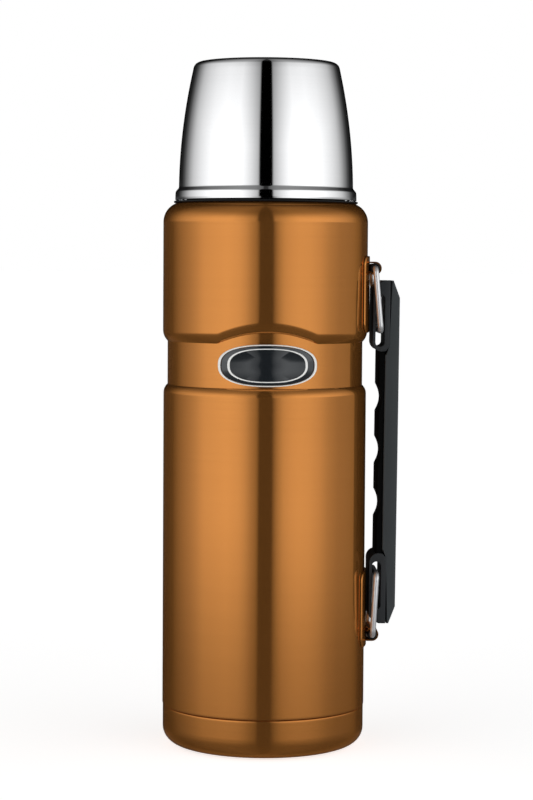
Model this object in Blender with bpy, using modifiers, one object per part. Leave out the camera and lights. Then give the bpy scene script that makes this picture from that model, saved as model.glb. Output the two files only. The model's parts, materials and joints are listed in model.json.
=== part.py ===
"""A 1.2 litre stainless vacuum flask: screw-on cup, pouring stopper and fold-out side handle.

The bottle's axis is Z and it stands on z = 0. Its front, with the badge, faces -Y and its
handle is on +X. Sizes below are in millimetres; MM turns them into metres.
"""
import math

import bmesh
import bpy

MM = 0.001
GAP = 0.3                   # left between pieces that touch
SEGMENTS = 32               # facets round a turned piece

# Bottle, outside: radii and heights of the painted casing
LOWER_RADIUS = 46.0
UPPER_RADIUS = 46.3
WAIST_RADIUS = 44.2
WAIST_BOTTOM = 164.2
WAIST_TOP = 183.7
WAIST_SLOPE = 3.6           # height of the slopes above and below the waist
ARCH_RISE = 4.8             # the waist's upper edge lifts over the badge
ARCH_HALF_ANGLE = math.radians(29.0)
SHOULDER_TOP = 246.4
SHOULDER_ROUND = 9.0
CASING_WALL = 0.8
BASE_SEAM = 18.4
BASE_ROUND = 9.5
FOOT_RADIUS = 36.3

# Neck
COLLAR_RADIUS = 35.8
COLLAR_TOP = 257.6
MOUTH_RADIUS = 28.2
LIP_HEIGHT = 270.0
CUP_LEAD = 5.0              # rise of the cup for each turn
STOPPER_LEAD = 4.0          # rise of the stopper for each turn

# Inner flask
LINER_RADIUS = 42.0
LINER_WALL = 0.6
NECK_RADIUS = 27.0
FLOOR_HEIGHT = 17.4
FLASK_SHOULDER = 223.5
FLASK_SHOULDER_ROUND = 8.0

# Cup
CUP_TOP = 310.0
CUP_FOOT = 248.1
RIM_RING_BOTTOM = 246.8
CUP_WALL = 0.6
CUP_LINER_WALL = 1.0
CUP_THREAD_RADIUS = 38.6

# Handle, in side view; it is the same above and below HANDLE_MIDDLE
HANDLE_MIDDLE = 134.0
HANDLE_HALF_LENGTH = 77.6
EAR_LENGTH = 32.0
EAR_INNER = 47.8
EAR_OUTER = 55.5
GRIP_INNER = 50.7
GRIP_OUTER = 53.5
COVER_OUTER = 59.8
HANDLE_LEAN = math.radians(0.4)       # the handle leans out at its top
FINGER_PITCH = 24.2
FINGER_DEPTH = 1.9
FINGER_HALF_LENGTH = 6.2    # of each finger hollow
EAR_HALF_WIDTH = 11.8
COVER_HALF_WIDTH = 11.4
SLOT_CENTRE = 51.1
SLOT_WIDTH = 4.2
TOP_SLOT_START = 47.7       # from the handle's middle to the slot's inner end
BOTTOM_SLOT_START = 49.4
SLOT_END = 71.4

# Bails: wire loops that carry the handle
WIRE_RADIUS = 1.3
BAIL_HALF_WIDTH = 13.6
PIVOT_X = 49.1
PIVOT_OFFSET = 83.0         # pivot bar, from the handle's middle
TOP_BAR_X = 51.65
BOTTOM_BAR_X = 50.7
BAR_OFFSET = 55.0           # cross bar in the handle's slot, from the handle's middle
BAIL_CORNER = 2.4

# Brackets that hold the bails
BRACKET_WALL = 0.7
BRACKET_HALF_WIDTH = 16.0
BRACKET_PAST_PIVOT = 5.5
BRACKET_LENGTH = 34.5
STRAP_HALF_WIDTH = 9.5
EYE_RADIUS = 2.3

# Badge: a plain oval plate in a light rim
BADGE_HEIGHT = 174.4
BADGE_HALF_LENGTH = 21.7
BADGE_HALF_HEIGHT = 9.2
BADGE_RIM = 1.2


# ---------------------------------------------------------------- collections and materials

for leftover in list(bpy.data.objects):
    bpy.data.objects.remove(leftover, do_unlink=True)

PARTS = bpy.data.collections.new("vacuum_flask")
CUTTERS = bpy.data.collections.new("cutters")
bpy.context.scene.collection.children.link(PARTS)
bpy.context.scene.collection.children.link(CUTTERS)


def new_material(name, colour, roughness, metallic):
    material = bpy.data.materials.new(name)
    material.use_nodes = True
    shader = material.node_tree.nodes["Principled BSDF"]
    shader.inputs["Base Color"].default_value = (*colour, 1.0)
    shader.inputs["Roughness"].default_value = roughness
    shader.inputs["Metallic"].default_value = metallic
    return material


COPPER_PAINT = new_material("copper_paint", (0.42, 0.17, 0.05), 0.32, 0.85)
POLISHED_STEEL = new_material("polished_steel", (0.80, 0.80, 0.81), 0.06, 1.0)
BRUSHED_STEEL = new_material("brushed_steel", (0.60, 0.60, 0.61), 0.30, 1.0)
COPPER_FOIL = new_material("copper_foil", (0.72, 0.38, 0.25), 0.25, 1.0)
BLACK_PLASTIC = new_material("black_plastic", (0.012, 0.012, 0.013), 0.38, 0.0)
GREY_PLASTIC = new_material("grey_plastic", (0.040, 0.043, 0.046), 0.48, 0.0)
SILICONE = new_material("silicone", (0.55, 0.55, 0.53), 0.55, 0.0)
FOAM = new_material("foam", (0.80, 0.76, 0.62), 0.90, 0.0)
GETTER_METAL = new_material("getter_metal", (0.22, 0.22, 0.23), 0.60, 1.0)
BADGE_FACE = new_material("badge_face", (0.035, 0.040, 0.046), 0.35, 0.2)
BADGE_BORDER = new_material("badge_border", (0.78, 0.78, 0.76), 0.30, 0.3)


def add_part(obj, material):
    obj.data.materials.clear()
    obj.data.materials.append(material)
    obj.data.shade_smooth()
    obj.data.set_sharp_from_angle(angle=math.radians(30.0))
    PARTS.objects.link(obj)
    return obj


def add_cutter(obj):
    obj.hide_render = True
    obj.display_type = "WIRE"
    CUTTERS.objects.link(obj)
    return obj


# ---------------------------------------------------------------- shapes

def arc(centre_a, centre_b, radius, start, stop, steps):
    """Points along an arc, angles in degrees from the first axis."""
    points = []
    for step in range(steps + 1):
        angle = math.radians(start + (stop - start) * step / steps)
        points.append((centre_a + radius * math.cos(angle), centre_b + radius * math.sin(angle)))
    return points


def baked(obj):
    """A mesh object of what the modifiers and the curve settings make; the source is removed."""
    scratch = bpy.context.scene.collection
    scratch.objects.link(obj)
    graph = bpy.context.evaluated_depsgraph_get()
    graph.update()
    mesh = bpy.data.meshes.new_from_object(obj.evaluated_get(graph))
    mesh.transform(obj.matrix_world)
    solid = bmesh.new()
    solid.from_mesh(mesh)
    bmesh.ops.remove_doubles(solid, verts=solid.verts, dist=0.002 * MM)
    if all(edge.is_manifold for edge in solid.edges):
        bmesh.ops.recalc_face_normals(solid, faces=solid.faces)
    solid.to_mesh(mesh)
    solid.free()
    name = obj.name
    bpy.data.objects.remove(obj, do_unlink=True)
    return bpy.data.objects.new(name, mesh)


def turned(name, profile, closed=False, segments=SEGMENTS):
    """Turn (radius, height) points about Z. The profile runs down its outer side."""
    count = len(profile)
    edges = [(index, index + 1) for index in range(count - 1)]
    if closed:
        edges.append((count - 1, 0))
    mesh = bpy.data.meshes.new(name)
    mesh.from_pydata([(radius * MM, 0.0, height * MM) for radius, height in profile], edges, [])
    obj = bpy.data.objects.new(name, mesh)
    screw = obj.modifiers.new("turn", "SCREW")
    screw.axis = "Z"
    screw.steps = segments
    screw.render_steps = segments
    screw.use_merge_vertices = True
    screw.merge_threshold = 0.002 * MM
    return obj


def thicken(obj, wall):
    """Give an open surface a wall on its inner side."""
    solidify = obj.modifiers.new("wall", "SOLIDIFY")
    solidify.thickness = wall * MM
    solidify.offset = -1.0
    solidify.use_even_offset = True
    return obj


def combine(obj, operation, *others):
    """Boolean with each other object in turn; the others become hidden cutters."""
    for other in others:
        add_cutter(other)
        boolean = obj.modifiers.new(operation.lower(), "BOOLEAN")
        boolean.operation = operation
        boolean.solver = "EXACT"
        boolean.object = other
    return obj


def prism(name, outline, half_depth, along="Y", offset=0.0):
    """Extrude a flat outline: (x, z) points along Y, or (y, z) points along X."""
    curve = bpy.data.curves.new(name, "CURVE")
    curve.dimensions = "2D"
    curve.fill_mode = "BOTH"
    curve.extrude = half_depth * MM
    spline = curve.splines.new("POLY")
    spline.points.add(len(outline) - 1)
    for point, (a, b) in zip(spline.points, outline):
        point.co = (a * MM, b * MM, 0.0, 1.0)
    spline.use_cyclic_u = True
    obj = bpy.data.objects.new(name, curve)
    if along == "Y":
        obj.rotation_euler = (math.radians(90.0), 0.0, 0.0)
        obj.location = (0.0, offset * MM, 0.0)
    else:
        obj.rotation_euler = (math.radians(90.0), 0.0, math.radians(90.0))
        obj.location = (offset * MM, 0.0, 0.0)
    return baked(obj)


def wire(name, points, radius, cyclic):
    """A round wire through (x, y, z) points."""
    curve = bpy.data.curves.new(name, "CURVE")
    curve.dimensions = "3D"
    curve.bevel_depth = radius * MM
    curve.bevel_resolution = 2
    curve.use_fill_caps = True
    spline = curve.splines.new("POLY")
    spline.points.add(len(points) - 1)
    for point, (x, y, z) in zip(spline.points, points):
        point.co = (x * MM, y * MM, z * MM, 1.0)
    spline.use_cyclic_u = cyclic
    return baked(bpy.data.objects.new(name, curve))


def thread(name, radius, ridge, start_height, lead, turns, start_turn=0.0):
    """A round helical ridge, right-handed, to unite with a wall."""
    points = []
    steps = round(turns * 16)
    for step in range(steps + 1):
        turn = turns * step / steps
        angle = 2.0 * math.pi * (start_turn + turn)
        points.append((radius * math.cos(angle), radius * math.sin(angle), start_height + lead * turn))
    return wire(name, points, ridge, False)


def cylinder(name, radius, bottom, top, segments=SEGMENTS):
    return baked(turned(name, [(0.0, top), (radius, top), (radius, bottom), (0.0, bottom)], segments=segments))


def oval(half_length, half_height, power=2.5, steps=40):
    """A superellipse outline round the origin."""
    points = []
    for step in range(steps):
        angle = 2.0 * math.pi * step / steps
        c = math.cos(angle)
        s = math.sin(angle)
        a = half_length * math.copysign(abs(c) ** (2.0 / power), c)
        b = half_height * math.copysign(abs(s) ** (2.0 / power), s)
        points.append((a, b))
    return points


def mirrored(half):
    """A closed outline from its upper half, mirrored at the handle's middle."""
    lower = [(x, 2.0 * HANDLE_MIDDLE - z) for x, z in reversed(half) if z > HANDLE_MIDDLE]
    return half + lower


# ---------------------------------------------------------------- bottle

def casing_profile():
    """The painted casing's outer side, from the mouth down to its tucked-in foot."""
    slope = WAIST_SLOPE
    shoulder_centre = SHOULDER_TOP - SHOULDER_ROUND
    points = [(MOUTH_RADIUS, LIP_HEIGHT), (MOUTH_RADIUS, 264.4)]
    points += arc(31.6, 264.4, 3.4, 200.0, 262.0, 2)
    points += [(34.4, 259.7), (COLLAR_RADIUS, COLLAR_TOP), (COLLAR_RADIUS, SHOULDER_TOP + 1.2), (36.2, SHOULDER_TOP + 0.3)]
    points += arc(UPPER_RADIUS - SHOULDER_ROUND, shoulder_centre, SHOULDER_ROUND, 90.0, 0.0, 4)
    points += [(UPPER_RADIUS, WAIST_TOP + slope + 0.6), (UPPER_RADIUS - 0.5, WAIST_TOP + slope - 0.8)]
    points += [(WAIST_RADIUS + 0.5, WAIST_TOP + 0.8), (WAIST_RADIUS, WAIST_TOP)]
    points += [(WAIST_RADIUS, WAIST_BOTTOM), (WAIST_RADIUS + 0.4, WAIST_BOTTOM - 0.7)]
    points += [(LOWER_RADIUS - 0.4, WAIST_BOTTOM - slope + 0.8), (LOWER_RADIUS, WAIST_BOTTOM - slope)]
    points += [(LOWER_RADIUS, BASE_SEAM + GAP), (44.2, BASE_SEAM + GAP), (44.2, 10.0)]
    return points


def raise_arch(obj):
    """Lift the waist's upper edge over the badge, at the front."""
    for vertex in obj.data.vertices:
        height = vertex.co.z / MM
        if WAIST_TOP - 1.0 < height < WAIST_TOP + WAIST_SLOPE + 2.0:
            angle = math.atan2(vertex.co.x, -vertex.co.y)
            share = 1.0 - (angle / ARCH_HALF_ANGLE) ** 2
            vertex.co.z += ARCH_RISE * max(share, 0.0) * MM
    return obj


def make_casing():
    casing = thicken(raise_arch(baked(turned("outer_casing", casing_profile()))), CASING_WALL)
    ridge = thread("cup_thread", COLLAR_RADIUS + 0.25, 0.95, 249.0, CUP_LEAD, 1.3)
    add_part(combine(casing, "UNION", ridge), COPPER_PAINT)


def make_base():
    seat = [(43.2, 14.4), (43.2, 11.4), (41.8, 10.0), (1.6, 10.0)]
    add_part(thicken(turned("casing_bottom", seat), CASING_WALL), BRUSHED_STEEL)
    cap = [(FOOT_RADIUS + BASE_ROUND, BASE_SEAM)]
    cap += arc(FOOT_RADIUS, BASE_ROUND, BASE_ROUND, 0.0, -90.0, 5)
    cap += [(0.0, 0.0)]
    add_part(thicken(turned("base_cap", cap), CASING_WALL), COPPER_PAINT)
    plug = [(0.0, 10.6), (1.2, 10.6), (1.2, 9.6), (2.6, 9.6), (2.6, 8.8), (0.0, 8.8)]
    add_part(turned("evacuation_seal", plug, segments=16), GETTER_METAL)


def make_inner_flask():
    shoulder = LINER_RADIUS - FLASK_SHOULDER_ROUND
    profile = [(MOUTH_RADIUS + 0.2, LIP_HEIGHT + 0.4), (NECK_RADIUS, LIP_HEIGHT + 0.4)]
    profile += [(NECK_RADIUS, 234.4), (NECK_RADIUS + 0.8, 232.6), (NECK_RADIUS + 2.8, 231.6)]
    profile += arc(shoulder, FLASK_SHOULDER, FLASK_SHOULDER_ROUND, 90.0, 0.0, 5)
    profile += [(LINER_RADIUS, FLOOR_HEIGHT - 2.4)]
    flask = thicken(baked(turned("inner_flask", profile)), LINER_WALL)
    ridge = thread("stopper_thread", NECK_RADIUS - 0.75, 0.65, 251.0, STOPPER_LEAD, 1.6)
    add_part(combine(flask, "UNION", ridge), BRUSHED_STEEL)

    edge = LINER_RADIUS - LINER_WALL - GAP
    floor_top = FLOOR_HEIGHT + LINER_WALL
    skirt = FLOOR_HEIGHT - 2.4
    dish = [(0.0, floor_top), (edge - 0.8, floor_top), (edge, floor_top - 0.8), (edge, skirt)]
    dish += [(edge - LINER_WALL, skirt), (edge - LINER_WALL, FLOOR_HEIGHT), (0.0, FLOOR_HEIGHT)]
    add_part(turned("inner_bottom", dish), BRUSHED_STEEL)

    shield = [(42.8, 220.0), (42.8, 19.0), (42.5, 19.0), (42.5, 220.0)]
    add_part(turned("heat_shield", shield, closed=True), COPPER_FOIL)


def make_getter():
    """A gas-absorbing pill in a sheet clip, under the inner flask's floor."""
    top = FLOOR_HEIGHT - GAP
    bent = [(11.0, top), (11.0, top - 0.5), (13.6, top - 0.5), (14.2, top - 3.6), (21.8, top - 3.6)]
    bent += [(22.4, top - 0.5), (25.0, top - 0.5), (25.0, top), (22.0, top), (21.4, top - 3.1)]
    bent += [(14.6, top - 3.1), (14.0, top)]
    add_part(prism("getter_clip", bent, 2.5), BRUSHED_STEEL)
    pill = cylinder("getter", 3.0, top - 2.7, top - 0.5, segments=20)
    pill.location.x = 18.0 * MM
    add_part(pill, GETTER_METAL)


def make_badge():
    """A curved oval plate on the front of the waist, inside a raised light rim."""
    centre = 44.0
    outer = oval(BADGE_HALF_LENGTH, BADGE_HALF_HEIGHT)
    inner = oval(BADGE_HALF_LENGTH - BADGE_RIM, BADGE_HALF_HEIGHT - BADGE_RIM)
    field = oval(BADGE_HALF_LENGTH - BADGE_RIM - GAP, BADGE_HALF_HEIGHT - BADGE_RIM - GAP)

    def shifted(points):
        return [(x, z + BADGE_HEIGHT) for x, z in points]

    def band(name, outer_radius):
        inner_radius = WAIST_RADIUS + GAP
        low = BADGE_HEIGHT - BADGE_HALF_HEIGHT - 2.0
        high = BADGE_HEIGHT + BADGE_HALF_HEIGHT + 2.0
        ring = [(outer_radius, high), (outer_radius, low), (inner_radius, low), (inner_radius, high)]
        return baked(turned(name, ring, closed=True, segments=2 * SEGMENTS))

    rim = combine(band("badge_rim", WAIST_RADIUS + 1.5), "INTERSECT",
                  prism("rim_outline", shifted(outer), 11.0, offset=-centre + 2.0))
    combine(rim, "DIFFERENCE", prism("rim_opening", shifted(inner), 14.0, offset=-centre + 2.0))
    add_part(rim, BADGE_BORDER)
    plate = combine(band("badge_plate", WAIST_RADIUS + 1.1), "INTERSECT",
                    prism("plate_outline", shifted(field), 11.0, offset=-centre + 2.0))
    add_part(plate, BADGE_FACE)


# ---------------------------------------------------------------- handle

def make_bracket(name, side, body_radius):
    """A sheet plate that follows the body, with a strap curled round the bail's pivot bar."""
    pivot = HANDLE_MIDDLE + side * PIVOT_OFFSET
    inner = body_radius + GAP
    outer = inner + BRACKET_WALL
    high = PIVOT_OFFSET + BRACKET_PAST_PIVOT
    low = high - BRACKET_LENGTH
    half = BRACKET_HALF_WIDTH
    corner = 3.0
    outline = arc(half - corner, high - corner, corner, 0.0, 90.0, 4)
    outline += arc(corner - half, high - corner, corner, 90.0, 180.0, 4)
    outline += arc(corner - half, low + corner, corner, 180.0, 270.0, 4)
    outline += arc(half - corner, low + corner, corner, 270.0, 360.0, 4)
    outline = [(y, HANDLE_MIDDLE + side * z) for y, z in outline]
    plate = prism(name, outline, 6.0, along="X", offset=44.0)
    combine(plate, "INTERSECT", cylinder(name + "_face", outer, 20.0, 240.0))

    eye = EYE_RADIUS + BRACKET_WALL
    strap = [(inner - 2.0, pivot + side * eye)]
    strap += [(x, pivot + side * z) for x, z in arc(PIVOT_X, 0.0, eye, 90.0, -150.0, 16)]
    strap += [(x, pivot + side * z) for x, z in arc(PIVOT_X, 0.0, EYE_RADIUS, -150.0, 90.0, 16)]
    strap += [(inner - 2.0, pivot + side * EYE_RADIUS)]
    combine(plate, "UNION", prism(name + "_strap", strap, STRAP_HALF_WIDTH))
    combine(plate, "DIFFERENCE", cylinder(name + "_seat", inner, 10.0, 250.0))
    add_part(plate, COPPER_PAINT)


def make_bail(name, side, bar_x):
    """A closed rectangular wire loop; its object's origin is on the pivot bar's axis."""
    lean = math.atan2(bar_x - PIVOT_X, PIVOT_OFFSET - BAR_OFFSET)
    length = math.hypot(bar_x - PIVOT_X, PIVOT_OFFSET - BAR_OFFSET)
    half = BAIL_HALF_WIDTH
    corner = BAIL_CORNER
    loop = arc(half - corner, -corner, corner, 0.0, 90.0, 4)
    loop += arc(corner - half, -corner, corner, 90.0, 180.0, 4)
    loop += arc(corner - half, corner - length, corner, 180.0, 270.0, 4)
    loop += arc(half - corner, corner - length, corner, 270.0, 360.0, 4)
    points = [(-w * math.sin(lean), y, side * w * math.cos(lean)) for y, w in loop]
    bail = wire(name, points, WIRE_RADIUS, True)
    bail.location = (PIVOT_X * MM, 0.0, (HANDLE_MIDDLE + side * PIVOT_OFFSET) * MM)
    add_part(bail, POLISHED_STEEL)


def leaned(outline):
    """An (x, z) outline turned about the handle's middle by the handle's lean."""
    points = []
    for x, z in outline:
        across = x - SLOT_CENTRE
        along = z - HANDLE_MIDDLE
        points.append((SLOT_CENTRE + across * math.cos(HANDLE_LEAN) + along * math.sin(HANDLE_LEAN),
                       HANDLE_MIDDLE - across * math.sin(HANDLE_LEAN) + along * math.cos(HANDLE_LEAN)))
    return points


def finger_edge(height):
    """The grip's inner edge: three shallow finger hollows round the handle's middle."""
    along = height - HANDLE_MIDDLE
    nearest = FINGER_PITCH * min(1, max(-1, round(along / FINGER_PITCH)))
    share = min(1.0, abs(along - nearest) / FINGER_HALF_LENGTH)
    return GRIP_INNER + FINGER_DEPTH * (1.0 - share ** 2)


def make_grip():
    """The black grip: an ear with a slot at each end, and a hollowed bar between them."""
    top = HANDLE_MIDDLE + HANDLE_HALF_LENGTH
    low = top - EAR_LENGTH
    steps = 12
    half = []
    for step in range(steps + 1):
        height = HANDLE_MIDDLE + 1.5 * FINGER_PITCH * step / steps
        half.append((finger_edge(height), height))
    half += arc(EAR_INNER + 4.5, low + 4.5, 4.5, 262.0, 180.0, 4)
    half += [(EAR_INNER, top - 3.6), (EAR_INNER + 1.8, top - 1.4), (EAR_INNER + 4.5, top)]
    half += [(EAR_OUTER, top), (EAR_OUTER, low + 2.4), (GRIP_OUTER, low - 0.8)]
    grip = prism("handle_grip", leaned(mirrored(half)), EAR_HALF_WIDTH)
    bevel = grip.modifiers.new("edges", "BEVEL")
    bevel.width = 0.5 * MM
    bevel.segments = 1
    bevel.limit_method = "ANGLE"
    bevel.angle_limit = math.radians(60.0)
    reach = SLOT_WIDTH / 2.0
    for side, start in ((1.0, TOP_SLOT_START), (-1.0, BOTTOM_SLOT_START)):
        slot = arc(SLOT_CENTRE, SLOT_END - reach, reach, 0.0, 180.0, 6)
        slot += arc(SLOT_CENTRE, start + reach, reach, 180.0, 360.0, 6)
        slot = [(x, HANDLE_MIDDLE + side * z) for x, z in slot]
        combine(grip, "DIFFERENCE", prism("ear_slot", leaned(slot), EAR_HALF_WIDTH + 5.0))
    add_part(grip, BLACK_PLASTIC)


def make_cover():
    """The grey spine over the grip's outer side, with its outer corners cut off."""
    top = HANDLE_MIDDLE + HANDLE_HALF_LENGTH
    low = top - EAR_LENGTH
    half = [(GRIP_OUTER + GAP, HANDLE_MIDDLE), (GRIP_OUTER + GAP, low - 1.1), (EAR_OUTER + GAP, low + 2.2)]
    half += [(EAR_OUTER + GAP, top), (COVER_OUTER - 3.1, top), (COVER_OUTER, top - 7.7)]
    half += [(COVER_OUTER, HANDLE_MIDDLE)]
    cover = prism("handle_cover", leaned(mirrored(half)), COVER_HALF_WIDTH)
    bevel = cover.modifiers.new("edges", "BEVEL")
    bevel.width = 0.9 * MM
    bevel.segments = 2
    bevel.limit_method = "ANGLE"
    bevel.angle_limit = math.radians(60.0)
    add_part(cover, GREY_PLASTIC)


# ---------------------------------------------------------------- stopper

def make_stopper():
    """A hollow threaded plug with a foam core, a fluted knob on top and a seal below."""
    bore = 22.4
    shank = 24.6
    plug_bottom = 238.5
    plug_top = 271.2
    profile = [(shank, plug_top), (shank, plug_bottom), (0.0, plug_bottom)]
    profile += [(0.0, plug_bottom + 1.5), (bore, plug_bottom + 1.5), (bore, plug_top)]
    plug = turned("stopper_plug", profile, closed=True)
    ridge = thread("plug_thread", shank + 0.5, 0.95, 249.0, STOPPER_LEAD, 2.0)
    combine(plug, "UNION", ridge)
    channel = [(23.3, plug_bottom - 2.0), (30.0, plug_bottom - 2.0), (30.0, plug_top + 2.0), (23.3, plug_top + 2.0)]
    for side in (-1.0, 1.0):
        groove = prism("pour_channel", [(side * x, z) for x, z in channel], 3.5)
        combine(plug, "DIFFERENCE", groove)
    add_part(plug, BLACK_PLASTIC)

    foam = cylinder("stopper_foam", bore - GAP, plug_bottom + 1.5 + GAP, 267.2)
    add_part(foam, FOAM)

    knob = [(0.0, 288.0), (24.8, 288.0), (26.6, 287.2), (27.4, 285.4), (27.4, 275.4), (29.2, 274.6)]
    knob += [(29.5, 273.8), (29.5, 271.6), (bore - GAP, 271.6), (bore - GAP, 267.5), (0.0, 267.5)]
    knob = turned("stopper_knob", knob)
    flute_count = 12
    for flute in range(flute_count):
        angle = 2.0 * math.pi * (flute + 0.5) / flute_count
        cutter = cylinder("knob_flute", 2.6, 276.0, 292.0, segments=10)
        cutter.location = (29.0 * MM * math.cos(angle), 29.0 * MM * math.sin(angle), 0.0)
        combine(knob, "DIFFERENCE", cutter)
    add_part(knob, BLACK_PLASTIC)

    seal = [(26.0, 238.2), (25.8, 235.4), (20.0, 235.4), (20.0, 238.2)]
    add_part(turned("stopper_gasket", seal, closed=True), SILICONE)
    base = [(0.0, 238.2), (19.7, 238.2), (19.7, 235.1), (24.0, 235.1), (24.0, 234.2), (22.8, 233.4), (0.0, 233.4)]
    add_part(turned("stopper_base", base), BLACK_PLASTIC)


# ---------------------------------------------------------------- cup

def cup_radius(height):
    """Outer radius of the cup's side, which rounds in towards its top."""
    return 39.45 - 0.00195 * (height - 250.0) ** 2


def make_cup():
    side = [(cup_radius(height), height) for height in (304.0, 298.0, 290.0, 280.0, 268.0, 254.0)]
    shell = [(0.0, CUP_TOP), (26.0, 309.6), (30.6, 309.2), (32.0, 308.5), (32.8, 306.9)]
    shell += side
    shell += [(39.4, 252.4), (39.9, 251.8), (40.7, 250.4), (41.5, 248.9), (41.6, CUP_FOOT)]
    add_part(thicken(baked(turned("cup_shell", shell)), CUP_WALL), POLISHED_STEEL)

    space = CUP_WALL + 1.2
    liner = [(0.0, 305.6), (27.6, 305.6), (30.4, 304.8), (cup_radius(301.0) - space, 301.0)]
    liner += [(cup_radius(height) - space, height) for height in (295.0, 286.0, 274.0, 262.0)]
    liner += [(CUP_THREAD_RADIUS, 259.0), (CUP_THREAD_RADIUS, CUP_FOOT + 0.1)]
    liner = thicken(baked(turned("cup_liner", liner)), CUP_LINER_WALL)
    ridge = thread("liner_thread", CUP_THREAD_RADIUS - 1.1, 0.85, 249.0 + CUP_LEAD / 2.0, CUP_LEAD, 1.0)
    add_part(combine(liner, "UNION", ridge), BLACK_PLASTIC)

    ring = [(41.7, CUP_FOOT - GAP), (41.7, RIM_RING_BOTTOM), (38.3, RIM_RING_BOTTOM), (38.3, CUP_FOOT - GAP)]
    add_part(turned("cup_rim_ring", ring, closed=True), BLACK_PLASTIC)


make_casing()
make_base()
make_inner_flask()
make_getter()
make_badge()
make_bracket("top_bracket", 1.0, UPPER_RADIUS)
make_bracket("bottom_bracket", -1.0, LOWER_RADIUS)
make_bail("top_bail", 1.0, TOP_BAR_X)
make_bail("bottom_bail", -1.0, BOTTOM_BAR_X)
make_grip()
make_cover()
make_stopper()
make_cup()
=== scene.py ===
"""Looks for the vacuum flask: lacquered copper body, polished cup, black handle on wire bails.

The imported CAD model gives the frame. Sizes here are in millimetres (MM turns them into metres)
and the main ones are read from the CAD nodes' boxes.
"""
import json
import math

import bmesh
import bpy
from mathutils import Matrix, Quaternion, Vector


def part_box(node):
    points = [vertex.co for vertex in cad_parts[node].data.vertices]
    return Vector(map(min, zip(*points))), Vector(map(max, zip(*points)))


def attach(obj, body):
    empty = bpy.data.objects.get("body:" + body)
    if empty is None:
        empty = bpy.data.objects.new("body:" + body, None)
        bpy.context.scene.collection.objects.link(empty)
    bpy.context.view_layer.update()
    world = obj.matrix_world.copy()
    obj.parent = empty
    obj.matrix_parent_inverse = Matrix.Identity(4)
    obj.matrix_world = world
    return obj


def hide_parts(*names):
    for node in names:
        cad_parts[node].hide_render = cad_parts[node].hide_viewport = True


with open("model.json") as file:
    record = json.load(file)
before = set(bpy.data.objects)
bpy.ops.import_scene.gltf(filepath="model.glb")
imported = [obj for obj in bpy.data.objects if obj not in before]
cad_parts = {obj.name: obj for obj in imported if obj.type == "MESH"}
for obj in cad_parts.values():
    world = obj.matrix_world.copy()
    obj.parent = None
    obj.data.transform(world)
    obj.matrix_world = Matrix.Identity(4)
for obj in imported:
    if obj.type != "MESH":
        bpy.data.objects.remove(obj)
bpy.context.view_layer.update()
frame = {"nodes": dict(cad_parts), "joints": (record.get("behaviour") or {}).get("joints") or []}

MM = 0.001
ROUND = 160                 # facets round a turned piece; the largest ones have twice as many


def box_mm(node):
    """A CAD node's lowest and highest corners, in millimetres."""
    low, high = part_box(node)
    return [value / MM for value in low], [value / MM for value in high]


# ---------------------------------------------------------------- sizes, from the frame

CASING_LOW, CASING_HIGH = box_mm("outer_casing")
UPPER_RADIUS = CASING_HIGH[0]
LOWER_RADIUS = UPPER_RADIUS - 0.3
WAIST_RADIUS = UPPER_RADIUS - 2.1
TUCK_RADIUS = UPPER_RADIUS - 2.1        # where the casing tucks inside the base cap
CASING_TOP = CASING_HIGH[2]
CASING_FOOT = CASING_LOW[2]
CASING_WALL = 0.8
SHOULDER_TOP = CASING_TOP - 23.6
SHOULDER_ROUND = 9.0
COLLAR_RADIUS = 35.8
MOUTH_RADIUS = 28.2
NECK_RADIUS = 27.0
WAIST_TOP = CASING_TOP - 86.3
WAIST_BOTTOM = CASING_TOP - 105.8
ARCH_RISE = 4.9
ARCH_HALF_CHORD = 21.9
SEAM = box_mm("base_cap")[1][2]
CAP_RADIUS = box_mm("base_cap")[1][0]
FOOT_RADIUS = CAP_RADIUS - 9.5
OVAL_POWER = 2.5                        # 2 is an ellipse; more fills its corners

CUP_LOW, CUP_HIGH = box_mm("cup_shell")
CUP_TOP = CUP_HIGH[2]
CUP_FOOT = CUP_LOW[2]
CUP_SIDE_RADIUS = CUP_HIGH[0] - 2.2
CUP_FLARE_RADIUS = CUP_HIGH[0] - 0.6
CUP_WALL = 0.6
CUP_LEAD = 5.0
STOPPER_LEAD = 4.0

GRIP_LOW, GRIP_HIGH = box_mm("handle_grip")
HANDLE_MIDDLE = (GRIP_LOW[2] + GRIP_HIGH[2]) / 2.0
HANDLE_HALF = (GRIP_HIGH[2] - GRIP_LOW[2]) / 2.0
HANDLE_LEAN = math.radians(0.4)
SLOT_CENTRE = (GRIP_LOW[0] + GRIP_HIGH[0]) / 2.0 - 0.55
EAR_INNER = SLOT_CENTRE - 3.3
EAR_OUTER = SLOT_CENTRE + 4.4
EAR_LENGTH = 32.0
GRIP_INNER = SLOT_CENTRE - 0.4
GRIP_OUTER = SLOT_CENTRE + 2.4
COVER_OUTER = SLOT_CENTRE + 8.7
EAR_HALF_WIDTH = GRIP_HIGH[1]
COVER_HALF_WIDTH = box_mm("handle_cover")[1][1]
FINGER_PITCH = 24.2
FINGER_DEPTH = 1.9
FINGER_HALF_LENGTH = 6.2
HOLLOW_STEPS = 16
SLOT_HALF_WIDTH = 2.1
TOP_SLOT_START = 47.7
BOTTOM_SLOT_START = 49.4
SLOT_END = 71.4
SEAT_GAP = 0.3              # how far a bracket's plate stands off the casing

JOINT_PLACES = {joint["name"]: joint.get("pos_m") for joint in frame["joints"]}
TOP_PIVOT = [value / MM for value in JOINT_PLACES["handle_fold"]]
BOTTOM_PIVOT = [value / MM for value in JOINT_PLACES["bottom_bail_fold"]]
WIRE_RADIUS = 1.3
BAIL_HALF_WIDTH = box_mm("top_bail")[1][1] - WIRE_RADIUS

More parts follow.
